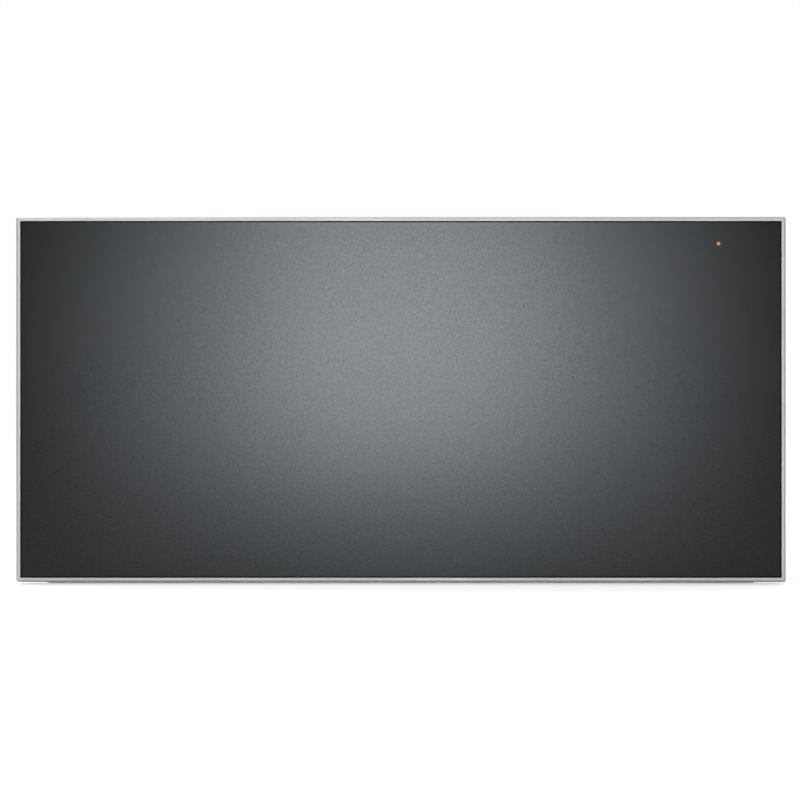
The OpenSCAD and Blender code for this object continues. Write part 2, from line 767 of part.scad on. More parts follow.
module fan_grille() translate([0, tub_d1 - 1, fan_z]) rotate([-90, 0, 0]) {
    cylinder(r = 2.5, h = sheet + 2);
    for (ring = [1:intake_rings], i = [0:6 * ring - 1]) rotate(i * 60 / ring)
        translate([intake_step * ring, 0, 0]) cylinder(r = 2.5, h = sheet + 2);
    for (i = [0:outlets - 1]) rotate(i * 360 / outlets)
        translate([ring_dia / 2, 0, 0]) linear_extrude(sheet + 2) slot(12, 5);
}

module drawer_tub() color("gainsboro") placed() difference() {
    union() {
        block([-drawer_half - sheet, drawer_half + sheet], [pan_rear, rear_d1 + sheet],
            [panel_top, rim_z]);
        both_sides() block([drawer_half, drawer_half + sheet], [pan_rear, rear_d1 + sheet],
            [rim_z - rim_fold, rim_z]);
        block([-drawer_half - sheet, drawer_half + sheet], [rear_d1, rear_d1 + sheet],
            [rim_z - rim_fold, rim_z]);
        tub_box(tub_w + 2 * sheet, tub_d + 2 * sheet, tub_r + sheet, floor_z - sheet, rim_z);
        tub_box(recess_w + 2 * sheet, recess_l + 2 * sheet, recess_r + sheet, tray_top, floor_z);
    }
    tub_box(tub_w, tub_d, tub_r, floor_z, rim_z + 1);
    tub_box(recess_w, recess_l, recess_r, ledge_z, floor_z + 1);
    tub_box(tray_w, tray_l, recess_r - 2, tray_top - 1, floor_z + 1);
    fan_grille();
    block([console_x0 - fit, console_x1 + fit], [console_d0 - fit, console_d1 + fit],
        [panel_top - 1, rim_z + 1]);
}

side_bead_z = 185;
side_bead_l = tub_d - 40;

module side_panel() {
    difference() {
        union() {
            block([drawer_half - sheet, drawer_half], [pan_rear, rear_d1], [base_z, panel_top]);
            block([drawer_half - side_flange, drawer_half], [pan_rear, pan_rear + sheet],
                [base_z, panel_top]);
            block([drawer_half - 12, drawer_half], [pan_rear, rear_d0],
                [panel_top - sheet, panel_top]);
            translate([drawer_half, tub_d0 + 20, side_bead_z]) rotate([0, -90, 0])
                bead_ridge(side_bead_l);
        }
        translate([drawer_half, tub_d0 + 20, side_bead_z]) rotate([0, -90, 0])
            bead_hollow(side_bead_l);
        rail_fixing_spots() rod_x(1.9 + running, drawer_half - sheet - 1, drawer_half + 1);
        front_side_spots() screw_hole();
    }
}

module left_side_panel() color("lightgray") placed() mirror([1, 0, 0]) side_panel();

module right_side_panel() color("lightgray") placed() side_panel();

mat_inner = tub_w / 2 + sheet + fit;
mat_outer = drawer_half - 4.5;

module side_insulation() color("khaki") placed() both_sides()
    block([mat_inner, mat_outer], [pan_rear + 8, rear_d0 - 4], [base_z + sheet, rim_z - 12]);

base_flange = 12;
base_beads = [-0.64, -0.21, 0.21, 0.64] * drawer_half;

module drawer_base() color("lightgray") placed() difference() {
    inner = drawer_half - sheet;
    union() {
        block([-inner, inner], [pan_rear + sheet, rear_d0], [base_z, base_z + sheet]);
        block([-inner, inner], [pan_rear + sheet, pan_rear + 2 * sheet], [base_z, base_z + base_flange]);
        block([-inner, inner], [rear_d0 - sheet, rear_d0], [base_z, base_z + base_flange]);
        both_sides() block([inner - sheet, inner], [pan_rear + sheet, rear_d0],
            [base_z, base_z + base_flange]);
        for (x = base_beads) translate([x, tub_d0, base_z + sheet]) mirror([0, 0, 1])
            bead_ridge(tub_d - 20);
    }
    for (x = base_beads) translate([x, tub_d0, base_z + sheet]) mirror([0, 0, 1])
        bead_hollow(tub_d - 20);
}

module floor_insulation() color("khaki") placed()
    tub_box(tray_w + 10, tray_l + 10, recess_r, base_z + sheet, tray_floor - sheet - fit);

// ---- Heated floor ----

tray_rim = 7;
terminal_reach = 10;
tube_r = tube_dia / 2;
tube_pitch = (tray_l - 2 * tube_margin) / (tube_runs - 1);
run_half = tray_w / 2 - tube_margin;
run_d0 = tub_mid_d - tray_l / 2 + tube_margin;
tube_end = -tray_w / 2 - terminal_reach;
bend_slack = 0.02; // the bends are this much thinner, so they join the runs cleanly

module heater_tray() color("silver") placed() difference() {
    union() {
        tub_box(tray_w + 2 * tray_rim, tray_l + 2 * tray_rim, recess_r + 4, tray_top - sheet, tray_top);
        tub_box(tray_w, tray_l, recess_r - 2, tray_floor - sheet, tray_top);
    }
    tub_box(tray_w - 2 * sheet, tray_l - 2 * sheet, recess_r - 3, tray_floor, tray_top + 1);
    for (d = [run_d0, run_d0 + (tube_runs - 1) * tube_pitch]) translate([0, d, tube_z])
        rod_x(tube_r + running, -tray_w / 2 - 1, -tray_w / 2 + 4);
}

module heating_element() color("dimgray") placed() {
    for (i = [0:tube_runs - 1]) translate([0, run_d0 + i * tube_pitch, tube_z])
        rod_x(tube_r, i == 0 || i == tube_runs - 1 ? tube_end : -run_half, run_half);
    for (i = [0:tube_runs - 2]) let(side = i % 2 == 0 ? 1 : -1)
        translate([side * run_half, run_d0 + (i + 0.5) * tube_pitch, tube_z])
            rotate(side > 0 ? -91 : 89) rotate_extrude(angle = 182)
                translate([tube_pitch / 2, 0]) circle(tube_r - bend_slack);
}

module heating_plate() color("#2c2f33") placed()
    tub_box(recess_w - 2 * plate_joint, recess_l - 2 * plate_joint, recess_r - plate_joint,
        floor_z - plate_t, floor_z);

module plate_seal() color("#101214") placed() difference() {
    tub_box(recess_w, recess_l, recess_r, ledge_z, floor_z - 0.8);
    tub_box(recess_w - 2 * plate_joint, recess_l - 2 * plate_joint, recess_r - plate_joint,
        floor_z - plate_t, floor_z);
    tub_box(tray_w + 2, tray_l + 2, recess_r - 1, ledge_z - 1, floor_z);
}

module plate_sensor() color("whitesmoke") placed() translate([0, tub_mid_d, tray_floor]) {
    cylinder(r = 11, h = 6);
    cylinder(r = 7, h = floor_z - plate_t - fit - tray_floor);
}

// ---- Drawer back, fan and ring heater ----

connector_x = -fan_house_dia / 2 - house_flange - 40;
connector_z = 60;
back_fold = 8;

module drawer_back() color("gainsboro") placed() difference() {
    inner = drawer_half - sheet;
    union() {
        block([-inner, inner], [rear_d0, rear_d1], [base_z, panel_top]);
        block([-drawer_half + side_flange, drawer_half - side_flange], [rear_d0 - back_fold, rear_d0],
            [panel_top - sheet, panel_top]);
        both_sides() block([inner - sheet, inner], [rear_d0 - back_fold, rear_d0],
            [base_z + base_flange + 2, panel_top - 3]);
    }
    translate([0, 0, fan_z]) rod_d(fan_house_dia / 2 + fit, rear_d0 - 1, rear_d1 + 1);
    block([connector_x - 16, connector_x + 16], [rear_d0 - 1, rear_d1 + 1],
        [connector_z - 8, connector_z + 8]);
}

house_r = fan_house_dia / 2;
ring_z = fan_z - sqrt(pow(ring_dia / 2, 2) - pow(ring_leg, 2));

module fan_housing() color("silver") placed() difference() {
    translate([0, 0, fan_z]) difference() {
        union() {
            rod_d(house_r, fan_wall, house_rear);
            rod_d(house_r + house_flange, rear_d1, rear_d1 + sheet);
        }
        rod_d(house_r - sheet, fan_wall - 1, house_rear - sheet);
        for (a = [0:60:300]) rotate([0, a, 0]) translate([0, 0, 12]) rod_d(1.5, house_rear - 2, house_rear + 1);
    }
    both_sides() translate([ring_leg, 0, ring_z]) rod_d(tube_r + running, house_rear - 2, house_rear + 1);
}

hub_d0 = impeller_d0 + 4;
hub_d1 = disc_d + disc_t;
motor_d0 = hub_d0 + cup_wall + 1;
motor_base = hub_d1 + 3;

module fan_motor() color("dimgray") placed() translate([0, 0, fan_z]) difference() {
    union() {
        rod_d(motor_r, motor_d0, motor_base);
        rod_d(motor_r + 10, motor_base, house_rear - sheet);
    }
    rod_d(shaft_r + running, motor_d0 - 1, motor_base);
}

module fan_impeller() color("silver") placed() translate([0, 0, fan_z]) {
    difference() {
        union() {
            rod_d(hub_r, hub_d0, hub_d1);
            rod_d(impeller_dia / 2, disc_d, hub_d1);
            rod_d(impeller_dia / 2, impeller_d0, impeller_d0 + shroud_t);
            for (i = [0:blades - 1]) rotate([0, i * 360 / blades, 0])
                translate([hub_r + 6, impeller_d0, 0]) rotate([0, 32, 0])
                    cube([(impeller_dia / 2 - hub_r) * 0.74, blade_d + 2 * shroud_t, 1]);
        }
        rod_d(hub_r - cup_wall, hub_d0 + cup_wall, hub_d1 + 1);
        rod_d(impeller_dia / 2 - 16, impeller_d0 - 1, impeller_d0 + shroud_t);
    }
    rod_d(shaft_r, hub_d0 + eps, motor_base - 1);
}

module ring_heater() color("dimgray") placed() {
    gap = asin(ring_leg / (ring_dia / 2));
    translate([0, ring_d, fan_z]) rotate([90, 0, 0]) rotate(gap - 90)
        rotate_extrude(angle = 360 - 2 * gap) translate([ring_dia / 2, 0]) circle(tube_r);
    both_sides() translate([ring_leg, 0, ring_z]) {
        translate([0, ring_d, 0]) sphere(tube_r + 2 * bend_slack);
        rod_d(tube_r, ring_d, house_rear + 4);
    }
}

module drawer_connector() color("dimgray") placed() translate([connector_x, 0, connector_z])
    difference() {
        union() {
            block([-16 + fit, 16 - fit], [rear_d0 - 4, rear_d1 + 8], [-8 + fit, 8 - fit]);
            block([-21, 21], [rear_d1, rear_d1 + 2], [-12, 12]);
        }
        for (x = [-12, -6, 0, 6, 12]) block([x - 1.7, x + 1.7], [rear_d1, rear_d1 + 9], [-3.4, 3.4]);
    }

// ---- Control console in the ledge behind the front ----

module fascia_plate(z0, t) translate([console_mid_x, control_d, z0]) linear_extrude(t)
    round_rect(fascia_w, fascia_d, 3);

module console_body() color("#303234") placed() difference() {
    union() {
        block([console_x0, console_x1], [console_d0, console_d1], [console_z0, rim_z]);
        fascia_plate(rim_z, console_lip);
    }
    difference() {
        block([console_x0 + console_wall, console_x1 - console_wall],
            [console_d0 + console_wall, console_d1 - console_wall],
            [console_z0 + console_wall, fascia_bottom + 1]);
        for (x = [console_x0, console_x1 - 6]) block([x, x + 6], [console_d0, console_d1],
            [console_z0, board_z]);
    }
    translate([console_x0 - 1, control_d, console_z0 + 14]) rotate([0, 90, 0]) cylinder(r = 4, h = 5);
}

tick_angles = [for (i = [0:4]) knob_off - 60 * i];

module console_fascia() color("#303234") placed() difference() {
    union() {
        fascia_plate(fascia_bottom, fascia_t);
        for (a = tick_angles) translate([knob_x, control_d, fascia_top - eps]) rotate(a)
            translate([-0.6, knob_dia / 2 + 0.6, 0]) cube([1.2, 1.6, 0.3]);
    }
    translate([knob_x, control_d, 0]) cylinder(r = spindle_r + fit, h = front_top);
    translate([button_x, control_d, 0]) cylinder(d = button_dia + 2 * fit, h = front_top);
}

relay_w = 12;
relay_l = 16;
relay_h = 12;

module control_board() color("darkgreen") placed() {
    block([console_x0 + console_wall + fit, console_x1 - console_wall - fit],
        [console_d0 + console_wall + fit, console_d1 - console_wall - fit], [board_z, board_top]);
    translate([button_x, control_d, board_top + tact_h / 2]) cube([2, 2, 1] * tact_h, center = true);
    translate([button_x - relay_l, control_d, board_top + relay_h / 2])
        cube([relay_w, relay_l, relay_h], center = true);
}

module selector_switch() color("dimgray") placed() translate([knob_x, control_d, board_top])
    difference() {
        union() {
            translate([-switch_w / 2, -switch_w / 2, 0]) cube([switch_w, switch_w, switch_h]);
            cylinder(r = 5, h = fascia_bottom - board_top);
        }
        translate([0, 0, 2]) cylinder(r = spindle_r + running, h = console_h);
    }

module switch_spindle() color("silver") placed() translate([knob_x, control_d, board_top + 2.3])
    cylinder(r = spindle_r, h = knob_z0 + knob_h - 3 - board_top - 2.3);

module selector_knob() color("#26282a") placed() translate([knob_x, control_d, knob_z0])
    rotate(knob_off) difference() {
        union() {
            cylinder(d = knob_dia, h = knob_base);
            intersection() {
                cylinder(d = knob_dia, h = knob_h);
                translate([-5, -knob_dia / 2, 0]) cube([10, knob_dia, knob_h]);
            }
        }
        translate([0, 0, -1]) cylinder(r = spindle_r + running, h = knob_h - 2);
        translate([-0.6, 2, knob_h - 0.5]) cube([1.2, knob_dia, 1]);
    }

module power_button() color("#d8dadc") placed() translate([button_x, control_d, 0]) {
    translate([0, 0, fascia_bottom - button_flange]) {
        cylinder(d = button_dia, h = button_flange + fascia_t + button_proud);
        cylinder(d = button_dia + 3, h = button_flange);
    }
    translate([0, 0, board_top + tact_h + button_travel + 0.1])
        cylinder(r = 2, h = fascia_bottom - button_flange - board_top - tact_h - button_travel);
}

// ---- Nodes ----

casing_shell();
casing_top();
casing_back();
casing_screws();
left_cabinet_rail();
right_cabinet_rail();
rail_rivets();
latch_housing();
latch_screws();
latch_spring();
power_inlet();
inlet_pins();
inlet_cover();
latch_plunger();
left_middle_rail();
right_middle_rail();
left_outer_cage();
right_outer_cage();
left_inner_cage();
right_inner_cage();
left_drawer_rail();
right_drawer_rail();
rail_screws();
frame_top();
frame_bottom();
frame_left();
frame_right();
corner_keys();
glass_pane();
glass_seal();
front_pan();
front_insulation();
indicator_lens();
indicator_board();
front_screws();
drawer_tub();
left_side_panel();
right_side_panel();
side_insulation();
drawer_base();
floor_insulation();
heater_tray();
heating_element();
heating_plate();
plate_seal();
plate_sensor();
drawer_back();
fan_housing();
fan_motor();
fan_impeller();
ring_heater();
drawer_connector();
strike_plate();
console_body();
console_fascia();
control_board();
selector_switch();
switch_spindle();
selector_knob();
power_button();
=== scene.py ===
import math

import bmesh
import bpy
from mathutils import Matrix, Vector


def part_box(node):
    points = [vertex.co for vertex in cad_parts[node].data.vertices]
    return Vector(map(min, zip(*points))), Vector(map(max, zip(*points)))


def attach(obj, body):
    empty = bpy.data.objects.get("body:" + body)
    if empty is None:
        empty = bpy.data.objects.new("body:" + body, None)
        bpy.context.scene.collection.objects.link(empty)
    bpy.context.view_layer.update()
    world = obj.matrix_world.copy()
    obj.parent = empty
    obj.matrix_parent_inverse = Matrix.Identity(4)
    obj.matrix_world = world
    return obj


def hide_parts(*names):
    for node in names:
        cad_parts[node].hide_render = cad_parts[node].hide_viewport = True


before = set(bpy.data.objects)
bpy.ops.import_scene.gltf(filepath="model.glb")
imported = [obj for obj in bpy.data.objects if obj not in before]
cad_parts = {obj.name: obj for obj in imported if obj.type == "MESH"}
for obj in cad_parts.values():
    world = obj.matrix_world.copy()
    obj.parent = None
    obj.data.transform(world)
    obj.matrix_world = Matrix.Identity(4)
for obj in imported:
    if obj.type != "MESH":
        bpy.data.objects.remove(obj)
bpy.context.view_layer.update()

# ---- Camera ----
# The photograph looks straight at the middle of the front through a long lens, so the casing
# stays hidden behind the front. The front's width covers 770 of the picture's 800 pixels.
picture_pixels = 800
front_pixels = 770
front_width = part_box("frame_right")[1][0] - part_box("frame_left")[0][0]
front_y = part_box("frame_top")[0][1]
pane_low, pane_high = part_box("glass_pane")
front_middle = (pane_low[2] + pane_high[2]) / 2
camera_distance = 2.4
camera_y = front_y - camera_distance
film_width = 36
shift_pixels_x = -0.95
shift_pixels_y = -0.6

camera_data = bpy.data.cameras.new("camera")
camera_data.sensor_width = film_width
camera_data.lens = film_width * camera_distance * front_pixels / front_width / picture_pixels
camera_data.shift_x = shift_pixels_x / picture_pixels
camera_data.shift_y = shift_pixels_y / picture_pixels
camera_data.clip_end = 50
camera = bpy.data.objects.new("camera", camera_data)
camera.location = (0, camera_y, front_middle)
camera.rotation_euler = (math.pi / 2, 0, 0)
bpy.context.scene.collection.objects.link(camera)
bpy.context.scene.camera = camera
bpy.context.scene.view_settings.view_transform = "Standard"


# ---- Studio floor ----
# A pale sweep that the drawer stands on. Seen by the camera it is white, and it keeps the shadow.
# Shading is built with two small classes: a Signal is one output of a node, and a Finish is one
# material that grows node by node.
class Signal:
    def __init__(self, finish, end):
        self.finish, self.end = finish, end

    def maths(self, operation, left, right):
        return self.finish.node("ShaderNodeMath", {"operation": operation}, {0: left, 1: right})

    def __add__(self, other):
        return self.maths("ADD", self, other)

    def __sub__(self, other):
        return self.maths("SUBTRACT", self, other)

    def __rsub__(self, other):
        return self.maths("SUBTRACT", other, self)

    def __mul__(self, other):
        return self.maths("MULTIPLY", self, other)

    __radd__ = __add__
    __rmul__ = __mul__


class Finish:
    def __init__(self, name, tree=None):
        if tree is None:
            self.material = bpy.data.materials.new(name)
            self.material.use_nodes = True
            tree = self.material.node_tree
        self.tree = tree
        tree.nodes.clear()

    def node(self, kind, settings=None, sockets=None, output=0):
        """A new node: its settings come first, then the values or links of its sockets."""
        made = self.tree.nodes.new(kind)
        for key, value in (settings or {}).items():
            if key == "stops":
                while len(made.color_ramp.elements) < len(value):
                    made.color_ramp.elements.new(0.5)
                for stop, (place, colour) in zip(made.color_ramp.elements, value):
                    stop.position, stop.color = place, (*colour, 1)
            else:
                setattr(made, key, value)
        for key, value in (sockets or {}).items():
            if isinstance(value, Signal):
                self.tree.links.new(value.end, made.inputs[key])
            elif isinstance(made.inputs[key].default_value, float):
                made.inputs[key].default_value = value
            else:
                spare = len(made.inputs[key].default_value) - len(value)
                made.inputs[key].default_value = (*value, *([1] * spare))
        return Signal(self, made.outputs[output])

    def place(self, scale=(1, 1, 1), turn=(0, 0, 0), shift=(0, 0, 0)):
        """Object coordinates in metres, turned, shifted and stretched for one pattern."""
        coordinates = self.node("ShaderNodeTexCoord", output=3)
        return self.node("ShaderNodeMapping", {}, {"Vector": coordinates, "Scale": scale,
                                                   "Rotation": turn, "Location": shift})

    def noise(self, scale, detail=2.0, stretch=(1, 1, 1), roughness=0.5):
        return self.node("ShaderNodeTexNoise", {}, {
            "Vector": self.place(stretch), "Scale": scale, "Detail": detail,
            "Roughness": roughness})

    def fade(self, value, low, high, start=0.0, end=1.0):
        """start below low, end above high, and smooth between."""
        return self.node("ShaderNodeMapRange", {"interpolation_type": "SMOOTHSTEP"}, {
            "Value": value, "From Min": low, "From Max": high, "To Min": start, "To Max": end})

    def mix(self, factor, first, second):
        """The first colour at 0 and the second at 1."""
        return self.node("ShaderNodeMix", {"data_type": "RGBA"}, {0: factor, 6: first, 7: second},
                         output=2)

    def bump(self, height, distance):
        """A normal for a relief that is distance metres deep."""
        return self.node("ShaderNodeBump", {}, {"Height": height, "Distance": distance,
                                                "Strength": 1.0})

    def surface(self, sockets):
        """The finished material, with these sockets of its shader set or linked."""
        shader = self.node("ShaderNodeBsdfPrincipled", {}, sockets)
        output = self.tree.nodes.new("ShaderNodeOutputMaterial")
        self.tree.links.new(shader.end, output.inputs["Surface"])
        return self.material


def link_mesh(name, bm):
    mesh = bpy.data.meshes.new(name)
    bm.to_mesh(mesh)
    bm.free()
    made = bpy.data.objects.new(name, mesh)
    bpy.context.scene.collection.objects.link(made)
    return made


floor_size = 14
floor_white = 0.93
floor_variation = 0.02
floor_lift = 0.52

floor_finish = Finish("studio_floor")
floor_seen = floor_finish.node("ShaderNodeLightPath", output=0)
floor_material = floor_finish.surface({
    "Base Color": floor_finish.mix(floor_finish.noise(0.8, 3), (floor_white,) * 3,
                                   (floor_white + floor_variation,) * 3),
    "Roughness": 0.9, "Specular IOR Level": 0.0,
    "Emission Color": (1, 1, 1), "Emission Strength": floor_seen * floor_lift})
bm = bmesh.new()
bmesh.ops.create_grid(bm, x_segments=1, y_segments=1, size=floor_size / 2)
floor = link_mesh("studio_floor", bm)
floor.data.materials.append(floor_material)


# ---- Studio light ----
# A white sweep stands behind the drawer under a pale ceiling, and the room before it is dim. Soft
# boxes hang behind and to the left, and two by the camera give the glass its wide highlight.
room_level = 0.04
backdrop_level = 0.95
backdrop_fade = (-0.95, 0.9)
ceiling_level = 0.55
ceiling_fade = (0.25, 0.7)

world = bpy.data.worlds.new("studio")
bpy.context.scene.world = world
world.use_nodes = True
sky = Finish("studio", world.node_tree)
direction = sky.node("ShaderNodeTexCoord", output=0)
depth = sky.node("ShaderNodeSeparateXYZ", {}, {0: direction}, output=1)
height = sky.node("ShaderNodeSeparateXYZ", {}, {0: direction}, output=2)
seen = sky.node("ShaderNodeLightPath", output=0)
backdrop = sky.fade(depth, *backdrop_fade, room_level, backdrop_level)
ceiling = sky.fade(height, *ceiling_fade, room_level, ceiling_level)
studio = sky.node("ShaderNodeMath", {"operation": "MAXIMUM"}, {0: backdrop, 1: ceiling})
background = sky.node("ShaderNodeBackground", {}, {
    "Color": (1, 1, 1), "Strength": seen + (1 - seen) * studio})
world_output = world.node_tree.nodes.new("ShaderNodeOutputWorld")
world.node_tree.links.new(background.end, world_output.inputs["Surface"])


def soft_box(name, size, power, place, aim, spread=180):
    """A lit rectangle that shines from its place to its aim, and that the camera doesn't see."""
    lamp = bpy.data.lights.new(name, "AREA")
    lamp.shape = "RECTANGLE"
    lamp.size, lamp.size_y = size
    lamp.energy = power
    lamp.spread = math.radians(spread)
    made = bpy.data.objects.new(name, lamp)
    made.location = place
    made.rotation_euler = (Vector(aim) - Vector(place)).to_track_quat("-Z", "Y").to_euler()
    made.visible_camera = False
    bpy.context.scene.collection.objects.link(made)


upper_level = 0.287
lower_level = 0.25
soft_box("rear_box", size=(2.0, 2.0), power=12, place=(-0.6, 0.8, 2.0), aim=(0, 0, 0))
soft_box("upper_left", size=(0.4, 0.3), power=1.1, place=(-0.46, -0.48, 0.78),
         aim=(-0.2, front_y, 0.28))
soft_box("front_box", size=(0.43, 0.50), power=0.62, place=(0, camera_y - 0.02, upper_level),
         aim=(0, 0, upper_level), spread=60)
soft_box("wide_front_box", size=(0.90, 0.44), power=0.58,
         place=(0, camera_y - 0.04, lower_level), aim=(0, 0, lower_level), spread=60)


# ---- Front frame ----
# Four extruded aluminium bars round the glass, blasted and anodised to a satin silver, mitred at
# the corners. The strip beside the glass faces forward, and the outer edge is chamfered.
rim_colour = (0.68, 0.685, 0.70)
rim_rounding = 0.00025
merge_distance = 0.000002
flat_angle = 0.01
bend_angle = math.radians(25)


def bent(edge):
    return edge.calc_face_angle(0) > bend_angle


def round_off(bm, edges, size, segments):
    bmesh.ops.bevel(bm, geom=edges, offset=size, segments=segments, profile=0.5,
                    affect="EDGES", material=-1, clamp_overlap=True)


def worked(node, rounding, segments=2):
    """A copy of a CAD node with its flat faces joined and its sharp edges rounded."""
    bm = bmesh.new()
    bm.from_mesh(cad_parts[node].data)
    bmesh.ops.remove_doubles(bm, verts=bm.verts, dist=merge_distance)
    bmesh.ops.dissolve_limit(bm, angle_limit=flat_angle, verts=bm.verts, edges=bm.edges)
    if rounding:
        round_off(bm, [edge for edge in bm.edges if bent(edge)], rounding, segments)
    return bm


def finished(bm, name, body, materials, nodes, crease=35):
    """The piece that takes the place of these CAD nodes, on its body and in its finish."""
    for face in bm.faces:
        face.smooth = True
    for edge in bm.edges:
        edge.smooth = edge.calc_face_angle(0) < math.radians(crease)
    piece = link_mesh(name, bm)
    for material in materials if isinstance(materials, list) else [materials]:
        piece.data.materials.append(material)
    shading = piece.modifiers.new("even_shading", "WEIGHTED_NORMAL")
    shading.keep_sharp = True
    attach(piece, body)
    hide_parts(*nodes)


def lined_metal(name, colour, stretch, roughness, spread, relief=0.000004):
    """Metal with fine lines along the axis whose stretch is small, or a grain if none is."""
    finish = Finish(name)
    lines = finish.noise(1.0, 4, stretch, 0.6)
    cloud = finish.noise(14, 3)
    shade = finish.fade(lines, 0.3, 0.7, 0, 0.7) + finish.fade(cloud, 0.35, 0.65, 0, 0.3)
    darker = tuple(c * (1 - spread) for c in colour)
    lighter = tuple(min(1, c * (1 + spread)) for c in colour)
    return finish.surface({
        "Base Color": finish.mix(shade, darker, lighter),
        "Metallic": 1.0,
        "Roughness": finish.fade(shade, 0, 1, roughness + 0.05, roughness - 0.05),
        "Normal": finish.bump(lines, relief)})


rim_roughness = 0.54
rim_relief = 0.0000008
rim_spread = 0.02
rim_along_x = lined_metal("anodised_bar", rim_colour, stretch=(6, 2500, 2500),
                          roughness=rim_roughness, spread=rim_spread, relief=rim_relief)
rim_along_z = lined_metal("anodised_upright", rim_colour, stretch=(2500, 2500, 6),
                          roughness=rim_roughness, spread=rim_spread, relief=rim_relief)
for side, material in (("top", rim_along_x), ("bottom", rim_along_x),
                       ("left", rim_along_z), ("right", rim_along_z)):
    finished(worked("frame_" + side, rim_rounding), side + "_bar", "drawer",
             material, ["frame_" + side])


# ---- Glass pane ----
# Toughened glass, 4 mm thick, its back enamelled in an anthracite with fine metal flakes. The
# edges are ground round and look black, and the lamp's small hole goes right through. Round the
# hole, a glow of the lamp is painted onto the enamel and the ground edge as amber emission.
glass_rounding = 0.0004
enamel_dark = (0.0226, 0.0244, 0.0259)
enamel_light = (0.0310, 0.0335, 0.0356)
enamel_roughness = 0.2
roughness_variation = 0.004
lamp_low, lamp_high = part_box("indicator_lens")
lamp_middle = [(a + b) / 2 for a, b in zip(lamp_low, lamp_high)]
# Sizes of the painted amber glow round the lamp's hole, on the enamel and on the ground edge.
painted_glow_inner = 0.0012
painted_glow_on_enamel = 0.0032
painted_glow_on_edge = 0.0024
facing_forward = 0.99


def painted_lamp_glow(finish, outer):
    """Painted lamp glow on the glass: 1 next to the lamp, and 0 from outer metres on."""
    from_lamp = finish.node("ShaderNodeVectorMath", {"operation": "LENGTH"}, {
        0: finish.place(shift=(-lamp_middle[0], -pane_low[1], -lamp_middle[2]))}, output=1)
    glow = finish.fade(from_lamp, painted_glow_inner, outer, 1, 0)
    return glow * glow


enamel = Finish("anthracite_glass")
flakes = enamel.noise(620, 2, roughness=0.6)
cloud = enamel.noise(7, 2)
enamel_material = enamel.surface({
    "Base Color": enamel.mix(enamel.fade(flakes, 0.25, 0.75), enamel_dark, enamel_light),
    "Metallic": 1.0,
    "Roughness": enamel.fade(cloud, 0.3, 0.7, enamel_roughness - roughness_variation,
                             enamel_roughness + roughness_variation),
    "Coat Weight": 0.05, "Coat Roughness": 0.2,
    # Painted glow: the enamel round the lamp's hole emits amber light.
    "Emission Color": enamel.mix(painted_lamp_glow(enamel, painted_glow_on_enamel), (0, 0, 0),
                                 (0.05, 0.02, 0.003)),
    "Emission Strength": 1.0,
    "Normal": enamel.bump(flakes, 0.000002)})

ground = Finish("ground_glass_edge")
grain = ground.noise(1500, 2)
ground_material = ground.surface({
    "Base Color": ground.mix(grain, (0.001, 0.0015, 0.002), (0.003, 0.004, 0.005)),
    "Roughness": ground.fade(grain, 0.3, 0.7, 0.45, 0.6), "Specular IOR Level": 0.05,
    # Painted glow: the ground edge of the lamp's hole emits amber light.
    "Emission Color": ground.mix(painted_lamp_glow(ground, painted_glow_on_edge), (0, 0, 0),
                                 (0.16, 0.06, 0.008)),
    "Emission Strength": 1.0,
    "Normal": ground.bump(grain, 0.000004)})

bm = worked("glass_pane", glass_rounding, segments=3)
for face in bm.faces:
    face.material_index = 0 if abs(face.normal.y) > facing_forward else 1
finished(bm, "glass_front", "drawer", [enamel_material, ground_material],
         ["glass_pane"])


# ---- Seals and bonded joints ----
# A bead of black silicone fills the joint round the glass and bonds it to the shelf of the bars.
# The same silicone seals the heated glass in the floor of the tub.
def dress(node, material):
    """Gives a CAD node that is shown as it is a finish of its own."""
    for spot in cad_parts[node].material_slots:
        spot.material = material


silicone = Finish("black_silicone")
skin = silicone.noise(900, 3)
silicone_finish = silicone.surface({
    "Base Color": silicone.mix(silicone.noise(30, 2), (0.002, 0.0025, 0.0035),
                               (0.003, 0.00375, 0.00525)),
    "Roughness": silicone.fade(skin, 0.3, 0.7, 0.52, 0.68),
    "Specular IOR Level": 0.06,
    "Normal": silicone.bump(skin, 0.00003)})
dress("glass_seal", silicone_finish)
dress("plate_seal", silicone_finish)


# ---- Indicator lamp ----
# An amber acrylic light guide sits in the hole of the glass. Behind it a small circuit board
# stands on two spacers and carries the lamp and its socket.
socket_depth = 0.0052
guide = Finish("amber_guide")
core = guide.noise(1400, 2)
guide_material = guide.surface({
    "Base Color": guide.mix(core, (0.35, 0.12, 0.015), (0.42, 0.17, 0.03)),
    "Roughness": 0.3,
    "Emission Color": guide.mix(core, (0.27, 0.11, 0.010), (0.35, 0.16, 0.016)),
    "Emission Strength": 1.0})
dress("indicator_lens", guide_material)


def circuit_board(name, axis, parts_from):
    """Green solder mask with copper tracks. Past parts_from on this axis, dark moulded parts."""
    finish = Finish(name)
    tracks = finish.node("ShaderNodeTexBrick", {"offset": 0.35}, {
        "Vector": finish.place((260, 260, 260), (0.4, 0.3, 0.2)), "Color1": (0.008, 0.075, 0.030),
        "Color2": (0.010, 0.095, 0.036), "Mortar": (0.035, 0.17, 0.06), "Scale": 1.0,
        "Mortar Size": 0.06})
    where = finish.node("ShaderNodeSeparateXYZ", {}, {0: finish.place()}, output=axis)
    part = finish.node("ShaderNodeMath", {"operation": "GREATER_THAN"}, {0: where, 1: parts_from})
    grain = finish.noise(700, 2)
    moulded = finish.mix(grain, (0.012, 0.012, 0.013), (0.03, 0.03, 0.032))
    return finish.surface({
        "Base Color": finish.mix(part, tracks, moulded),
        "Roughness": finish.fade(part, 0, 1, 0.28, 0.5),
        "Normal": finish.bump(grain, 0.00002)})


lamp_board_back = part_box("indicator_board")[1][1]
dress("indicator_board", circuit_board("lamp_board", 1, lamp_board_back - socket_depth))


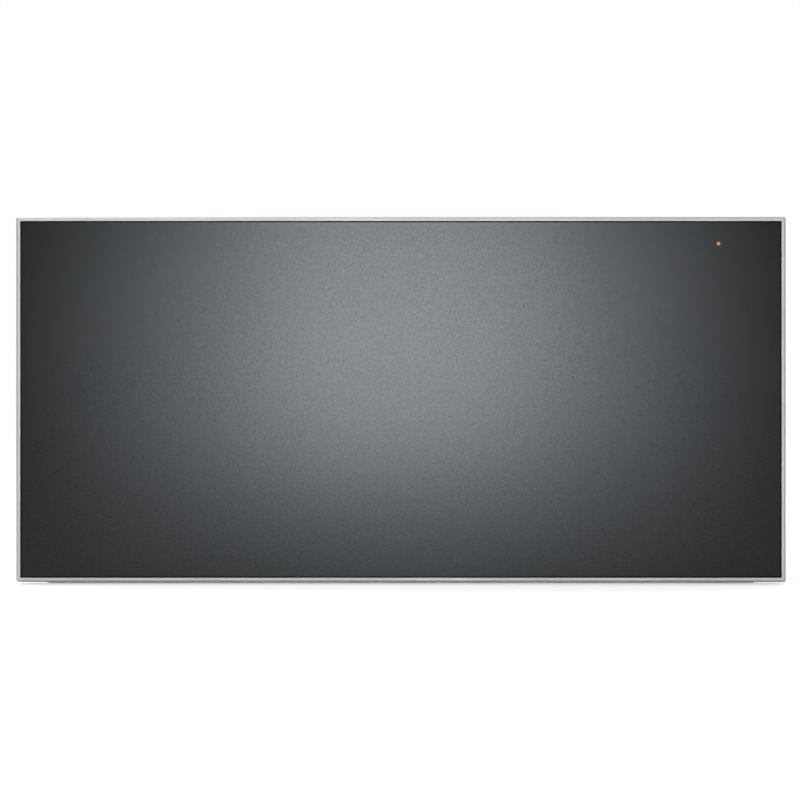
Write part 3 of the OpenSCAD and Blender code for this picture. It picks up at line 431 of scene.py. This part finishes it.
# ---- Front pan, its insulation, and the corner keys ----
# A folded tray of galvanised steel closes the back of the frame, and the drawer's sides are
# screwed to it. A mineral wool mat fills it, and steel angles key the corners of the bars.
def galvanised(name, colour=(0.56, 0.575, 0.585), roughness=0.42, grain=230):
    """Zinc-coated sheet: a fine, low-contrast spangle with faint clouds and small specks."""
    finish = Finish(name)
    crystals = finish.node("ShaderNodeTexVoronoi", {"feature": "F1"}, {
        "Vector": finish.place(), "Scale": grain, "Randomness": 1.0}, output=1)
    crystal = finish.node("ShaderNodeSeparateColor", {}, {0: crystals})
    cloud = finish.noise(11, 4)
    specks = finish.noise(650, 2)
    shade = crystal * 0.45 + cloud * 0.55
    return finish.surface({
        "Base Color": finish.mix(finish.fade(shade, 0.15, 0.85), tuple(c * 0.93 for c in colour),
                                 tuple(c * 1.06 for c in colour)),
        "Metallic": 0.92,
        "Roughness": finish.fade(shade, 0.1, 0.9, roughness + 0.06, roughness - 0.05),
        "Normal": finish.bump(specks, 0.000012)})


sheet_rounding = 0.0002
drawer_sheet = galvanised("drawer_sheet")
finished(worked("front_pan", sheet_rounding), "front_tray", "drawer",
         drawer_sheet, ["front_pan"])

wool = Finish("mineral_wool")
fibres = wool.noise(260, 5, (1, 1, 5), 0.7)
tufts = wool.noise(38, 4)
felt = fibres * 0.6 + tufts * 0.4
wool_finish = wool.surface({
    "Base Color": wool.mix(wool.fade(felt, 0.3, 0.7), (0.40, 0.33, 0.18), (0.66, 0.58, 0.36)),
    "Roughness": 0.95, "Sheen Weight": 0.3,
    "Normal": wool.bump(felt, 0.0009)})
mat_grid = 0.012
mat_dip = 0.0006
mat_waves = (410, 373, 439)
mat_crease = 80
cut_slack = 0.000001


def mat(node, name):
    """A mat cut from a roll, whose wavy surface dips a little inside its CAD solid."""
    bm = worked(node, 0)
    for axis in range(3):
        low, high = (pick(v.co[axis] for v in bm.verts) for pick in (min, max))
        for i in range(1, int((high - low) / mat_grid)):
            normal = [0, 0, 0]
            normal[axis] = 1
            place = [0, 0, 0]
            place[axis] = low + i * mat_grid
            bmesh.ops.bisect_plane(bm, geom=bm.verts[:] + bm.edges[:] + bm.faces[:],
                                   plane_co=place, plane_no=normal, dist=cut_slack)
    bm.normal_update()
    for v in bm.verts:
        wave = sum(math.sin(along * rate) for along, rate in zip(v.co, mat_waves))
        v.co -= v.normal * mat_dip * (1 + wave / len(mat_waves)) * 0.5
    finished(bm, name, "drawer", wool_finish, [node], mat_crease)


mat("front_insulation", "front_mat")
mat("side_insulation", "side_mats")
mat("floor_insulation", "floor_mat")

zinc_plated = lined_metal("zinc_plated_steel", (0.62, 0.635, 0.66), stretch=(300, 300, 300),
                          roughness=0.34, spread=0.08)
dress("corner_keys", zinc_plated)
dress("front_screws", zinc_plated)


# ---- Casing ----
# A galvanised box in three pieces: base and sides in one bent sheet with fixing flanges, a lid
# with beads, and a screwed back. Slots in the sides and the back let the warm air out.
casing_sheet = galvanised("casing_sheet", (0.50, 0.515, 0.53), roughness=0.40, grain=210)
for node, name in (("casing_shell", "casing_base_and_sides"), ("casing_top", "casing_lid"),
                   ("casing_back", "casing_rear_panel")):
    finished(worked(node, sheet_rounding), name, "casing", casing_sheet, [node])
dress("casing_screws", zinc_plated)


# ---- Mains inlet ----
# A black nylon appliance inlet snaps into the back. Three nickel-plated pins stand in it, and a
# moulded cover keeps fingers off its tags inside the casing.
def moulded_plastic(name, colour, roughness=0.45, grain=1500, relief=0.00003, spread=0.25):
    """Injection-moulded plastic with a fine spark-eroded grain."""
    finish = Finish(name)
    cells = finish.node("ShaderNodeTexVoronoi", {"feature": "SMOOTH_F1"}, {
        "Vector": finish.place(), "Scale": grain, "Smoothness": 0.6})
    cloud = finish.noise(45, 3)
    return finish.surface({
        "Base Color": finish.mix(finish.fade(cloud, 0.3, 0.7), colour,
                                 tuple(min(1, c * (1 + spread)) for c in colour)),
        "Roughness": finish.fade(cloud, 0.2, 0.8, roughness - 0.05, roughness + 0.05),
        "Normal": finish.bump(cells, relief)})


black_nylon = moulded_plastic("black_nylon", (0.016, 0.016, 0.018))
nickel = lined_metal("nickel_plate", (0.72, 0.68, 0.60), stretch=(400, 60, 400),
                     roughness=0.26, spread=0.06)
finished(worked("power_inlet", rounding=0.0004), "mains_inlet", "casing",
         black_nylon, ["power_inlet"])
finished(worked("inlet_pins", rounding=0.0004, segments=3), "mains_pins", "casing",
         nickel, ["inlet_pins"])
finished(worked("inlet_cover", rounding=0.0005), "mains_cover", "casing",
         black_nylon, ["inlet_cover"])


# ---- Slides ----
# Each slide is three roll-formed strips of bright zinc-plated steel. Hardened balls run between
# them in pressed cages, which are passivated yellow.
roll_formed = lined_metal("roll_formed_zinc", (0.66, 0.68, 0.71), stretch=(2000, 4, 2000),
                          roughness=0.28, spread=0.035, relief=0.0000012)
for side in ("left", "right"):
    for rail in ("cabinet", "middle", "drawer"):
        dress(side + "_" + rail + "_rail", roll_formed)
dress("rail_screws", zinc_plated)
dress("rail_rivets", zinc_plated)

yellow_zinc = Finish("yellow_zinc")
flow = yellow_zinc.noise(55, 4)
sheen = yellow_zinc.node("ShaderNodeValToRGB", {"stops": [
    (0.30, (0.66, 0.46, 0.17)), (0.48, (0.74, 0.58, 0.26)), (0.62, (0.62, 0.50, 0.30)),
    (0.75, (0.70, 0.44, 0.22))]}, {0: flow})
cage_finish = yellow_zinc.surface({
    "Base Color": sheen, "Metallic": 1.0,
    "Roughness": yellow_zinc.fade(flow, 0.3, 0.7, 0.30, 0.40),
    "Normal": yellow_zinc.bump(yellow_zinc.noise(900, 2), 0.000006)})
ball_steel = lined_metal("ball_steel", (0.60, 0.61, 0.63), stretch=(500, 500, 500),
                         roughness=0.12, spread=0.03)
longest_ball = 0.0045


def loose_parts(bm):
    """The faces of each separate part of a mesh."""
    waiting = set(bm.faces)
    while waiting:
        part, edge_of_part = [], [waiting.pop()]
        while edge_of_part:
            face = edge_of_part.pop()
            part.append(face)
            for edge in face.edges:
                for other in edge.link_faces:
                    if other in waiting:
                        waiting.remove(other)
                        edge_of_part.append(other)
        yield part


for side in ("left", "right"):
    for ring in ("outer", "inner"):
        bm = worked(side + "_" + ring + "_cage", 0)
        for part in loose_parts(bm):
            lengths = [face.calc_center_median().y for face in part]
            is_ball = max(lengths) - min(lengths) < longest_ball
            for face in part:
                face.material_index = 1 if is_ball else 0
        finished(bm, side + "_" + ring + "_ball_cage", side + "_" + ring + "_balls",
                 [cage_finish, ball_steel], [side + "_" + ring + "_cage"])


# ---- Push-to-open latch ----
# A grey moulded housing is screwed to the casing's back. A white acetal plunger with a steel
# spring behind it stands against a strike plate on the drawer.
grey_nylon = moulded_plastic("grey_nylon", (0.20, 0.205, 0.21), roughness=0.5)
white_acetal = moulded_plastic("white_acetal", (0.74, 0.735, 0.71), roughness=0.36, grain=900,
                               relief=0.00001, spread=0.04)
spring_steel = lined_metal("spring_steel", (0.50, 0.51, 0.53), stretch=(700, 700, 700),
                           roughness=0.3, spread=0.08)
finished(worked("latch_housing", rounding=0.0005, segments=3), "latch_case", "casing",
         grey_nylon, ["latch_housing"])
finished(worked("latch_plunger", rounding=0.0005, segments=3), "latch_pin", "latch",
         white_acetal, ["latch_plunger"])
finished(worked("strike_plate", rounding=0.0003), "latch_strike", "drawer",
         zinc_plated, ["strike_plate"])
dress("latch_spring", spring_steel)
dress("latch_screws", zinc_plated)


# ---- Drawer tub ----
# One deep-drawn tub of brushed stainless steel with its ledge and folded rim. The bottom corners
# have a pressed radius, and slots and holes in the rear wall pass the fan's air.
tub_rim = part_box("drawer_tub")[1][2]
plate_low, plate_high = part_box("heating_plate")
plate_middle_y = (plate_low[1] + plate_high[1]) / 2
floor_level = plate_high[2]
level_slack = 0.0001
beside_plate = 0.01
floor_radius = 0.004
rim_radius = 0.0007
facing_sideways = 0.75
steel_colour = (0.60, 0.595, 0.585)
brushed_across = lined_metal("stainless_brushed_across", steel_colour, stretch=(5, 2400, 2400),
                             roughness=0.30, spread=0.05, relief=0.000003)
brushed_along = lined_metal("stainless_brushed_along", steel_colour, stretch=(2400, 5, 2400),
                            roughness=0.30, spread=0.05, relief=0.000003)


def bends_on(bm, level):
    """The sharp edges of a mesh that lie on one level."""
    return [edge for edge in bm.edges
            if bent(edge) and all(abs(v.co.z - level) < level_slack for v in edge.verts)]


def outside_plate(edge):
    """True at the foot of the tub's walls, and false at the opening for the heated floor."""
    across = max(abs(v.co.x) for v in edge.verts) - plate_high[0]
    along = min(abs(v.co.y - plate_middle_y) for v in edge.verts) - (plate_high[1] - plate_middle_y)
    return max(across, along) > beside_plate


bm = worked("drawer_tub", 0)
wall_feet = [edge for edge in bends_on(bm, floor_level) if outside_plate(edge)]
round_off(bm, wall_feet, floor_radius, segments=4)
round_off(bm, bends_on(bm, tub_rim), rim_radius, segments=3)
for face in bm.faces:
    face.material_index = 1 if abs(face.normal.x) > facing_sideways else 0
finished(bm, "steel_tub", "drawer", [brushed_across, brushed_along],
         ["drawer_tub"])


# ---- Drawer shell ----
# Galvanised side panels, base plate and back carry the tub. Pressed beads stiffen the sides and
# the base, and the edges are folded inwards.
for node, name in (("left_side_panel", "left_side"), ("right_side_panel", "right_side"),
                   ("drawer_base", "drawer_bottom"), ("drawer_back", "drawer_rear")):
    finished(worked(node, sheet_rounding), name, "drawer", drawer_sheet, [node])


# ---- Heated floor ----
# A sheathed heating element is bent to and fro in an aluminised tray. A dark glass-ceramic plate
# lies on a silicone seal above it, and a ceramic sensor presses on its underside.
aluminised = galvanised("aluminised_tray", (0.62, 0.62, 0.61), roughness=0.5, grain=60)
finished(worked("heater_tray", sheet_rounding), "element_tray", "drawer",
         aluminised, ["heater_tray"])

sheath = Finish("heater_sheath")
scale = sheath.noise(420, 4)
heat_tints = sheath.node("ShaderNodeValToRGB", {"stops": [
    (0.25, (0.16, 0.145, 0.14)), (0.45, (0.22, 0.17, 0.11)), (0.6, (0.13, 0.12, 0.13)),
    (0.8, (0.10, 0.11, 0.15))]}, {0: sheath.noise(26, 3)})
sheath_finish = sheath.surface({
    "Base Color": heat_tints, "Metallic": 0.9,
    "Roughness": sheath.fade(scale, 0.3, 0.7, 0.38, 0.58),
    "Normal": sheath.bump(scale, 0.00005)})
dress("heating_element", sheath_finish)

ceramic = Finish("dark_glass_ceramic")
speckle = ceramic.noise(1500, 2, roughness=0.8)
depth_tone = ceramic.noise(6, 2)
plate_finish = ceramic.surface({
    "Base Color": ceramic.mix(ceramic.fade(speckle, 0.58, 0.7),
                              ceramic.mix(depth_tone, (0.010, 0.011, 0.012),
                                          (0.014, 0.015, 0.016)), (0.07, 0.072, 0.075)),
    "Roughness": ceramic.fade(depth_tone, 0.3, 0.7, 0.07, 0.11),
    "Coat Weight": 0.6, "Coat Roughness": 0.04})
finished(worked("heating_plate", rounding=0.0008, segments=3), "glass_floor", "drawer",
         plate_finish, ["heating_plate"])
sensor_ceramic = moulded_plastic("sensor_ceramic", (0.78, 0.75, 0.68), roughness=0.6, grain=500,
                                 relief=0.00002, spread=0.06)
dress("plate_sensor", sensor_ceramic)


# ---- Fan and ring heater ----
# A plated housing stands in the drawer's back, its flange against the sheet. A motor turns the
# impeller, which is a disc, a ring and blades, and the ring heater's legs go out at the rear.
plated_housing = lined_metal("plated_housing", (0.60, 0.605, 0.61), stretch=(250, 250, 250),
                             roughness=0.36, spread=0.08)
blade_metal = lined_metal("impeller_aluminium", (0.70, 0.70, 0.69), stretch=(200, 200, 200),
                          roughness=0.34, spread=0.06)
motor_black = moulded_plastic("motor_enamel", (0.022, 0.022, 0.023), roughness=0.55, grain=700)
finished(worked("fan_housing", rounding=0.0003), "fan_casing", "drawer",
         plated_housing, ["fan_housing"])
finished(worked("fan_motor", rounding=0.0005), "motor", "drawer", motor_black,
         ["fan_motor"])
finished(worked("fan_impeller", rounding=0.0001, segments=1), "impeller", "fan",
         blade_metal, ["fan_impeller"])
finished(worked("drawer_connector", rounding=0.0003), "rear_connector", "drawer",
         black_nylon, ["drawer_connector"])
dress("ring_heater", sheath_finish)


# ---- Control console ----
# A moulded box hangs in the ledge behind the front. A glossy fascia closes it, with raised marks
# round the selector, and holds the switch, the circuit board and the button below.
fascia_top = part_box("console_fascia")[1][2]
mark_height = 0.0002
board_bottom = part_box("control_board")[0][2]
board_thickness = 0.00165
gloss = Finish("gloss_fascia")
haze = gloss.noise(60, 3)
fascia_finish = gloss.surface({
    "Base Color": gloss.mix(haze, (0.011, 0.011, 0.012), (0.017, 0.017, 0.019)),
    "Roughness": gloss.fade(haze, 0.3, 0.7, 0.12, 0.17),
    "Coat Weight": 0.4, "Coat Roughness": 0.05})
marks = moulded_plastic("printed_marks", (0.70, 0.71, 0.72), roughness=0.5, grain=900,
                        relief=0.00001, spread=0.05)
finished(worked("console_body", rounding=0.0005), "console_box", "drawer",
         black_nylon, ["console_body"])
bm = worked("console_fascia", rounding=0.00025)
for face in bm.faces:
    on_mark = face.calc_center_median().z > fascia_top - mark_height
    face.material_index = 1 if on_mark else 0
finished(bm, "console_panel", "drawer", [fascia_finish, marks],
         ["console_fascia"])
dress("control_board", circuit_board("main_board", 2, board_bottom + board_thickness))
dress("selector_switch", grey_nylon)
dress("switch_spindle", spring_steel)


# ---- Selector knob ----
# A black moulded knob with a raised grip across a round skirt. A white line filled into its
# top points to the setting.
knob_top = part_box("selector_knob")[1][2]
groove_depth = 0.0005
groove_slack = 0.0002
facing_up = 0.9
knob_black = moulded_plastic("knob_black", (0.020, 0.020, 0.022), roughness=0.38, grain=1800,
                             relief=0.000015)
line_white = moulded_plastic("pointer_white", (0.80, 0.80, 0.79), roughness=0.5, grain=900,
                             relief=0.00001, spread=0.03)
bm = worked("selector_knob", rounding=0.0004, segments=3)
for face in bm.faces:
    above_groove = face.calc_center_median().z - (knob_top - groove_depth)
    in_groove = abs(above_groove) < groove_slack and face.normal.z > facing_up
    face.material_index = 1 if in_groove else 0
finished(bm, "selector_grip", "knob", [knob_black, line_white],
         ["selector_knob"])


# ---- Power button ----
# A satin silver push button with a rounded rim, which presses a switch on the board below.
button_silver = lined_metal("button_silver", (0.66, 0.67, 0.68), stretch=(350, 350, 350),
                            roughness=0.38, spread=0.05)
finished(worked("power_button", rounding=0.0006, segments=4), "power_key", "button",
         button_silver, ["power_button"])
